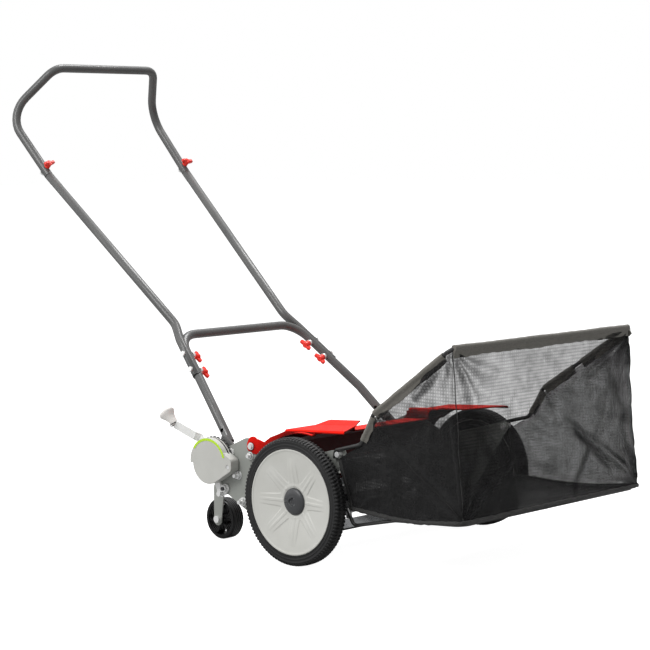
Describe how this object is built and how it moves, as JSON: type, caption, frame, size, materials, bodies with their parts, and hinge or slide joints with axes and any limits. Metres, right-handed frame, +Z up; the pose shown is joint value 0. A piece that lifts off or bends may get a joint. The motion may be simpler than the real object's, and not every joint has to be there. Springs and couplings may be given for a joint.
{
  "type": "reel mower",
  "caption": "Push reel mower with a red deck, grey wheels, folding-knob tube handle, rear height rollers and a black mesh grass bag in front.",
  "frame": {"origin": "middle of the overall box on the ground under the wheels", "axes": "+X forward towards the grass bag, +Y to the left of someone pushing it, +Z up"},
  "size_m": [1.3526, 0.6262, 1.0142],
  "materials": {
    "dark_tube": "satin dark grey powder coat",
    "plate_grey": "satin grey paint",
    "deck_red": "glossy red paint",
    "zinc": "bright zinc plated steel",
    "bare_steel": "ground steel",
    "black_steel": "black paint",
    "wire_black": "black coated wire",
    "wheel_grey": "light grey moulded plastic",
    "hub_dark": "dark grey plastic",
    "tyre_black": "dark rubber",
    "gear_plastic": "greased moulded nylon",
    "roller_black": "black moulded plastic",
    "knob_red": "bright red plastic",
    "housing_grey": "light grey plastic",
    "lever_grip": "warm light grey plastic",
    "scale_lime": "bright yellow-green, bare",
    "black_plastic": "black plastic",
    "bag_mesh": "black woven mesh"
  },
  "bodies": {
    "chassis": {"side_plate_right": "plate_grey", "side_plate_left": "plate_grey", "deck_cover": "deck_red", "deck_bolts": "zinc", "tie_rods": "zinc", "tie_rod_nuts": "zinc", "bed_knife_bar": "black_steel", "bed_knife": "bare_steel", "knife_screws": "bare_steel", "bearing_housings": "black_steel", "reel_bearings": "bare_steel", "wheel_axles": "bare_steel", "axle_retainers": "zinc", "knife_adjusters": "zinc", "bag_pins": "zinc", "adjuster_cover": "housing_grey", "adjuster_quadrant": "zinc", "adjuster_back": "black_plastic", "height_scale": "scale_lime", "adjuster_screws": "zinc", "handle_pivot_bolts": "zinc"},
    "reel": {"reel_shaft": "bare_steel", "reel_spiders": "black_steel", "reel_blades": "black_steel", "drive_pinions": "bare_steel", "drive_pawls": "bare_steel"},
    "wheel_right": {"tyre_right": "tyre_black", "wheel_disc_right": "wheel_grey", "ring_gear_right": "gear_plastic", "hub_cap_right": "hub_dark"},
    "wheel_left": {"tyre_left": "tyre_black", "wheel_disc_left": "wheel_grey", "ring_gear_left": "gear_plastic", "hub_cap_left": "hub_dark"},
    "roller_frame": {"roller_shaft": "black_steel", "roller_bracket_right": "plate_grey", "roller_bracket_left": "plate_grey", "roller_bolts": "zinc", "height_crank": "zinc"},
    "roller_right": {"roller_wheel_right": "roller_black"},
    "roller_left": {"roller_wheel_left": "roller_black"},
    "link": {"adjust_link": "zinc"},
    "lever": {"lever_arm": "zinc", "lever_knob": "lever_grip"},
    "handle": {"lower_handle": "dark_tube", "mid_tube_right": "dark_tube", "mid_tube_left": "dark_tube", "upper_handle": "dark_tube", "tube_end_caps": "black_plastic", "handle_bolts": "zinc", "joint_washers": "zinc"},
    "bag": {"bag_top_frame": "wire_black", "bag_floor_frame": "wire_black", "bag_cloth": "bag_mesh"},
    "upper_knob_right": {"upper_knob_right": "knob_red"},
    "upper_knob_left": {"upper_knob_left": "knob_red"},
    "lower_knob_right_rear": {"lower_knob_right_rear": "knob_red"},
    "lower_knob_right_front": {"lower_knob_right_front": "knob_red"},
    "lower_knob_left_rear": {"lower_knob_left_rear": "knob_red"},
    "lower_knob_left_front": {"lower_knob_left_front": "knob_red"}
  },
  "joints": [
    {"name": "wheel_right_spin", "type": "hinge", "parent": "chassis", "child": "wheel_right", "pos_m": [0.25827, -0.2915, 0.127], "axis": [0, 1, 0], "continuous": true},
    {"name": "wheel_left_spin", "type": "hinge", "parent": "chassis", "child": "wheel_left", "pos_m": [0.25827, 0.2915, 0.127], "axis": [0, 1, 0], "continuous": true},
    {"name": "reel_spin", "type": "hinge", "parent": "chassis", "child": "reel", "pos_m": [0.20389, 0, 0.10164], "axis": [0, 1, 0], "continuous": true},
    {"name": "roller_frame_swing", "type": "hinge", "parent": "chassis", "child": "roller_frame", "pos_m": [0.03527, 0, 0.127], "axis": [0, 1, 0], "range_deg": [0, 19.1]},
    {"name": "roller_right_spin", "type": "hinge", "parent": "roller_frame", "child": "roller_right", "pos_m": [-0.05973, -0.17, 0.043], "axis": [0, 1, 0], "continuous": true},
    {"name": "roller_left_spin", "type": "hinge", "parent": "roller_frame", "child": "roller_left", "pos_m": [-0.05973, 0.17, 0.043], "axis": [0, 1, 0], "continuous": true},
    {"name": "link_swing", "type": "hinge", "parent": "roller_frame", "child": "link", "pos_m": [0.02327, -0.264, 0.115], "axis": [0, 1, 0], "range_deg": [-17.5, 0]},
    {"name": "height_lever", "type": "hinge", "parent": "chassis", "child": "lever", "pos_m": [0.00627, -0.267, 0.179], "axis": [0, 1, 0], "range_deg": [0, 80]},
    {"name": "handle_tilt", "type": "hinge", "parent": "chassis", "child": "handle", "pos_m": [0.05127, 0, 0.203], "axis": [0, 1, 0], "range_deg": [-20, 35]},
    {"name": "bag_lift", "type": "slide", "parent": "chassis", "child": "bag", "axis": [0, 0, 1], "range_m": [0, 0.35]},
    {"name": "upper_knob_right_turn", "type": "hinge", "parent": "handle", "child": "upper_knob_right", "pos_m": [-0.572, -0.21177, 0.77714], "axis": [0.7309, 0, 0.6825], "continuous": true},
    {"name": "lower_knob_right_rear_turn", "type": "hinge", "parent": "handle", "child": "lower_knob_right_rear", "pos_m": [-0.13781, -0.17558, 0.38132], "axis": [-0.1106, -0.9667, 0.2308], "continuous": true},
    {"name": "lower_knob_right_front_turn", "type": "hinge", "parent": "handle", "child": "lower_knob_right_front", "pos_m": [-0.10455, -0.18651, 0.35148], "axis": [-0.1106, -0.9667, 0.2308], "continuous": true},
    {"name": "upper_knob_left_turn", "type": "hinge", "parent": "handle", "child": "upper_knob_left", "pos_m": [-0.572, 0.21177, 0.77714], "axis": [0.7309, 0, 0.6825], "continuous": true},
    {"name": "lower_knob_left_rear_turn", "type": "hinge", "parent": "handle", "child": "lower_knob_left_rear", "pos_m": [-0.13781, 0.17558, 0.38132], "axis": [-0.1106, 0.9667, 0.2308], "continuous": true},
    {"name": "lower_knob_left_front_turn", "type": "hinge", "parent": "handle", "child": "lower_knob_left_front", "pos_m": [-0.10455, 0.18651, 0.35148], "axis": [-0.1106, 0.9667, 0.2308], "continuous": true}
  ],
  "couplings": [
    {"joint": "wheel_left_spin", "follows": "wheel_right_spin", "ratio": 1},
    {"joint": "reel_spin", "follows": "wheel_right_spin", "ratio": 5},
    {"joint": "roller_frame_swing", "follows": "height_lever", "ratio": 0.238},
    {"joint": "link_swing", "follows": "height_lever", "ratio": -0.218}
  ]
}
